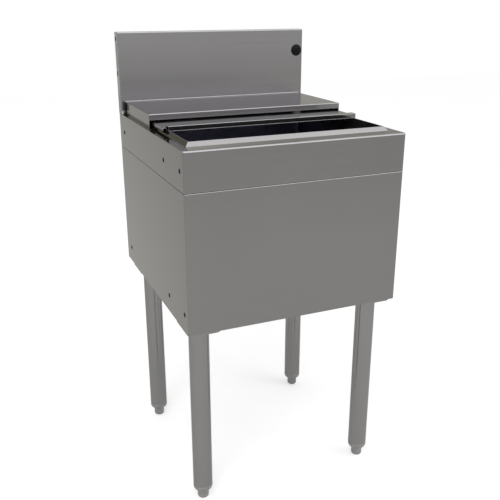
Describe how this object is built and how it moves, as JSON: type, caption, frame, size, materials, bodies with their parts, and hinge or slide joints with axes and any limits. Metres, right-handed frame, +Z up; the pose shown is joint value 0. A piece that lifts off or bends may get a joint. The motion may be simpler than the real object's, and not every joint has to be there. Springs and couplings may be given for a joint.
{
  "type": "underbar ice bin",
  "caption": "Free-standing stainless steel bar ice bin with an insulated cabinet, a rimmed mouth under sliding covers, a backsplash and tube legs on screw feet.",
  "frame": {"origin": "floor level, under the middle of the cabinet's floor plan", "axes": "+Z up, -Y towards the person at the bin, +Y towards the wall, +X to that person's right"},
  "size_m": [0.4594, 0.478, 0.9465],
  "materials": {
    "satin_steel": "satin",
    "bin_steel": "satin",
    "backing_steel": "matte",
    "foam": "matte",
    "black_plastic": "satin",
    "drain_metal": "polished",
    "seal_rubber": "matte",
    "drain_plastic": "satin",
    "leg_steel": "satin",
    "insert_plastic": "matte",
    "foot_steel": "satin",
    "fastener_steel": "satin"
  },
  "bodies": {
    "cabinet": {"deck_top": "satin_steel", "side_apron_left": "satin_steel", "side_apron_right": "satin_steel", "backsplash": "satin_steel", "backsplash_back": "backing_steel", "hose_plug": "black_plastic", "bin_liner": "bin_steel", "insulation": "foam", "front_panel": "satin_steel", "side_panel_left": "satin_steel", "side_panel_right": "satin_steel", "back_panel": "satin_steel", "bottom_panel": "backing_steel", "side_plugs_left": "black_plastic", "side_plugs_right": "black_plastic", "drain_body": "drain_metal", "drain_strainer": "drain_metal", "strainer_screw": "drain_metal", "drain_gasket": "seal_rubber", "drain_locknut": "drain_plastic", "drain_tailpiece": "drain_plastic", "leg_plate_front_left": "leg_steel", "leg_plate_front_right": "leg_steel", "leg_plate_rear_left": "leg_steel", "leg_plate_rear_right": "leg_steel", "leg_tube_front_left": "leg_steel", "leg_tube_front_right": "leg_steel", "leg_tube_rear_left": "leg_steel", "leg_tube_rear_right": "leg_steel", "foot_insert_front_left": "insert_plastic", "foot_insert_front_right": "insert_plastic", "foot_insert_rear_left": "insert_plastic", "foot_insert_rear_right": "insert_plastic", "plate_bolts": "fastener_steel", "plate_nuts": "fastener_steel", "leg_set_screws": "fastener_steel"},
    "rear_cover": {"rear_cover": "satin_steel"},
    "front_cover": {"front_cover": "satin_steel"},
    "foot_front_left": {"foot_front_left": "foot_steel"},
    "foot_front_right": {"foot_front_right": "foot_steel"},
    "foot_rear_left": {"foot_rear_left": "foot_steel"},
    "foot_rear_right": {"foot_rear_right": "foot_steel"}
  },
  "joints": [
    {"name": "front_cover_slide", "type": "slide", "parent": "cabinet", "child": "front_cover", "axis": [0, -1, 0], "range_m": [-0.06, 0.12]},
    {"name": "rear_cover_slide", "type": "slide", "parent": "cabinet", "child": "rear_cover", "axis": [0, -1, 0], "range_m": [0, 0.07]},
    {"name": "foot_front_left_slide", "type": "slide", "parent": "cabinet", "child": "foot_front_left", "axis": [0, 0, -1], "range_m": [0, 0.025]},
    {"name": "foot_front_right_slide", "type": "slide", "parent": "cabinet", "child": "foot_front_right", "axis": [0, 0, -1], "range_m": [0, 0.025]},
    {"name": "foot_rear_left_slide", "type": "slide", "parent": "cabinet", "child": "foot_rear_left", "axis": [0, 0, -1], "range_m": [0, 0.025]},
    {"name": "foot_rear_right_slide", "type": "slide", "parent": "cabinet", "child": "foot_rear_right", "axis": [0, 0, -1], "range_m": [0, 0.025]}
  ]
}
